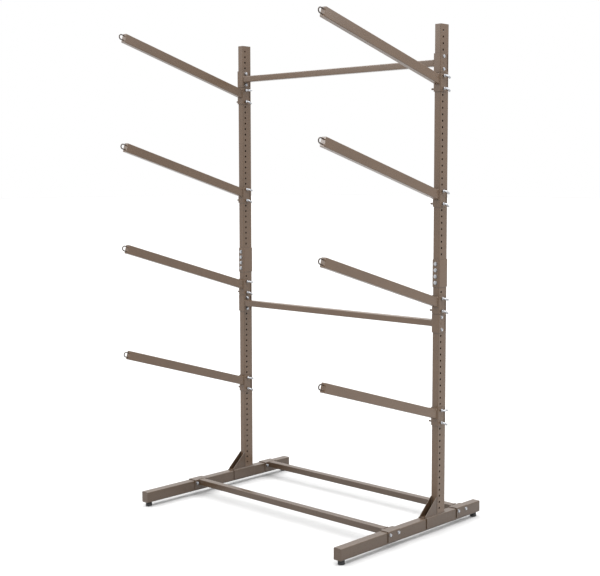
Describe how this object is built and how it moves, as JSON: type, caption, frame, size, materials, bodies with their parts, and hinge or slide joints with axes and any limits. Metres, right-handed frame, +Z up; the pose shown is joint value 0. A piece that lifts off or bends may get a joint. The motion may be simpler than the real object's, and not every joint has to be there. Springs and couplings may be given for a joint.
{
  "type": "cantilever rack",
  "caption": "Free-standing cantilever rack: uprights with rows of holes on floor feet, joined by crossbars, carry sloping arms hung on lock pins, for pipe, bar and timber.",
  "frame": {"origin": "on the floor, in the middle of the rack's bounding box", "axes": "+X runs from the left upright to the right one, -Y is the side the arms reach out to, +Z is up"},
  "size_m": [1.2142, 0.9994, 2.0497],
  "materials": {
    "painted_steel": "satin, finely textured taupe powder coat",
    "zinc_steel": "bright zinc plate",
    "rubber": "matt black moulded rubber"
  },
  "bodies": {
    "rack": {"base_foot_left": "painted_steel", "gusset_saddle_left": "painted_steel", "lower_upright_left": "painted_steel", "upper_upright_left": "painted_steel", "splice_sleeve_left": "painted_steel", "splice_bolt_left_1": "zinc_steel", "splice_bolt_left_2": "zinc_steel", "splice_bolt_left_3": "zinc_steel", "splice_bolt_left_4": "zinc_steel", "arm_left_1": "painted_steel", "arm_left_2": "painted_steel", "arm_left_3": "painted_steel", "arm_left_4": "painted_steel", "bracket_bolt_left_top_upper": "zinc_steel", "bracket_bolt_left_top_lower": "zinc_steel", "bracket_bolt_left_middle_upper": "zinc_steel", "bracket_bolt_left_middle_lower": "zinc_steel", "base_foot_right": "painted_steel", "gusset_saddle_right": "painted_steel", "lower_upright_right": "painted_steel", "upper_upright_right": "painted_steel", "splice_sleeve_right": "painted_steel", "splice_bolt_right_1": "zinc_steel", "splice_bolt_right_2": "zinc_steel", "splice_bolt_right_3": "zinc_steel", "splice_bolt_right_4": "zinc_steel", "arm_right_1": "painted_steel", "arm_right_2": "painted_steel", "arm_right_3": "painted_steel", "arm_right_4": "painted_steel", "bracket_bolt_right_top_upper": "zinc_steel", "bracket_bolt_right_top_lower": "zinc_steel", "bracket_bolt_right_middle_upper": "zinc_steel", "bracket_bolt_right_middle_lower": "zinc_steel", "top_crossbar": "painted_steel", "middle_crossbar": "painted_steel", "front_floor_crossbar": "painted_steel", "rear_floor_crossbar": "painted_steel"},
    "levelling_foot_front_left": {"levelling_foot_front_left": "rubber"},
    "levelling_foot_rear_left": {"levelling_foot_rear_left": "rubber"},
    "lock_pin_left_1_upper": {"lock_pin_left_1_upper": "zinc_steel"},
    "lock_pin_left_1_lower": {"lock_pin_left_1_lower": "zinc_steel"},
    "lock_pin_left_2_upper": {"lock_pin_left_2_upper": "zinc_steel"},
    "lock_pin_left_2_lower": {"lock_pin_left_2_lower": "zinc_steel"},
    "lock_pin_left_3_upper": {"lock_pin_left_3_upper": "zinc_steel"},
    "lock_pin_left_3_lower": {"lock_pin_left_3_lower": "zinc_steel"},
    "lock_pin_left_4_upper": {"lock_pin_left_4_upper": "zinc_steel"},
    "lock_pin_left_4_lower": {"lock_pin_left_4_lower": "zinc_steel"},
    "levelling_foot_front_right": {"levelling_foot_front_right": "rubber"},
    "levelling_foot_rear_right": {"levelling_foot_rear_right": "rubber"},
    "lock_pin_right_1_upper": {"lock_pin_right_1_upper": "zinc_steel"},
    "lock_pin_right_1_lower": {"lock_pin_right_1_lower": "zinc_steel"},
    "lock_pin_right_2_upper": {"lock_pin_right_2_upper": "zinc_steel"},
    "lock_pin_right_2_lower": {"lock_pin_right_2_lower": "zinc_steel"},
    "lock_pin_right_3_upper": {"lock_pin_right_3_upper": "zinc_steel"},
    "lock_pin_right_3_lower": {"lock_pin_right_3_lower": "zinc_steel"},
    "lock_pin_right_4_upper": {"lock_pin_right_4_upper": "zinc_steel"},
    "lock_pin_right_4_lower": {"lock_pin_right_4_lower": "zinc_steel"}
  },
  "joints": [
    {"name": "levelling_foot_front_left_adjust", "type": "slide", "parent": "rack", "child": "levelling_foot_front_left", "axis": [0, 0, -1], "range_m": [0, 0.012]},
    {"name": "levelling_foot_rear_left_adjust", "type": "slide", "parent": "rack", "child": "levelling_foot_rear_left", "axis": [0, 0, -1], "range_m": [0, 0.012]},
    {"name": "lock_pin_left_1_upper_pull", "type": "slide", "parent": "rack", "child": "lock_pin_left_1_upper", "axis": [1, 0, 0], "range_m": [0, 0.065]},
    {"name": "lock_pin_left_1_lower_pull", "type": "slide", "parent": "rack", "child": "lock_pin_left_1_lower", "axis": [1, 0, 0], "range_m": [0, 0.065]},
    {"name": "lock_pin_left_2_upper_pull", "type": "slide", "parent": "rack", "child": "lock_pin_left_2_upper", "axis": [1, 0, 0], "range_m": [0, 0.065]},
    {"name": "lock_pin_left_2_lower_pull", "type": "slide", "parent": "rack", "child": "lock_pin_left_2_lower", "axis": [1, 0, 0], "range_m": [0, 0.065]},
    {"name": "lock_pin_left_3_upper_pull", "type": "slide", "parent": "rack", "child": "lock_pin_left_3_upper", "axis": [1, 0, 0], "range_m": [0, 0.065]},
    {"name": "lock_pin_left_3_lower_pull", "type": "slide", "parent": "rack", "child": "lock_pin_left_3_lower", "axis": [1, 0, 0], "range_m": [0, 0.065]},
    {"name": "lock_pin_left_4_upper_pull", "type": "slide", "parent": "rack", "child": "lock_pin_left_4_upper", "axis": [1, 0, 0], "range_m": [0, 0.065]},
    {"name": "lock_pin_left_4_lower_pull", "type": "slide", "parent": "rack", "child": "lock_pin_left_4_lower", "axis": [1, 0, 0], "range_m": [0, 0.065]},
    {"name": "levelling_foot_front_right_adjust", "type": "slide", "parent": "rack", "child": "levelling_foot_front_right", "axis": [0, 0, -1], "range_m": [0, 0.012]},
    {"name": "levelling_foot_rear_right_adjust", "type": "slide", "parent": "rack", "child": "levelling_foot_rear_right", "axis": [0, 0, -1], "range_m": [0, 0.012]},
    {"name": "lock_pin_right_1_upper_pull", "type": "slide", "parent": "rack", "child": "lock_pin_right_1_upper", "axis": [1, 0, 0], "range_m": [0, 0.065]},
    {"name": "lock_pin_right_1_lower_pull", "type": "slide", "parent": "rack", "child": "lock_pin_right_1_lower", "axis": [1, 0, 0], "range_m": [0, 0.065]},
    {"name": "lock_pin_right_2_upper_pull", "type": "slide", "parent": "rack", "child": "lock_pin_right_2_upper", "axis": [1, 0, 0], "range_m": [0, 0.065]},
    {"name": "lock_pin_right_2_lower_pull", "type": "slide", "parent": "rack", "child": "lock_pin_right_2_lower", "axis": [1, 0, 0], "range_m": [0, 0.065]},
    {"name": "lock_pin_right_3_upper_pull", "type": "slide", "parent": "rack", "child": "lock_pin_right_3_upper", "axis": [1, 0, 0], "range_m": [0, 0.065]},
    {"name": "lock_pin_right_3_lower_pull", "type": "slide", "parent": "rack", "child": "lock_pin_right_3_lower", "axis": [1, 0, 0], "range_m": [0, 0.065]},
    {"name": "lock_pin_right_4_upper_pull", "type": "slide", "parent": "rack", "child": "lock_pin_right_4_upper", "axis": [1, 0, 0], "range_m": [0, 0.065]},
    {"name": "lock_pin_right_4_lower_pull", "type": "slide", "parent": "rack", "child": "lock_pin_right_4_lower", "axis": [1, 0, 0], "range_m": [0, 0.065]}
  ]
}
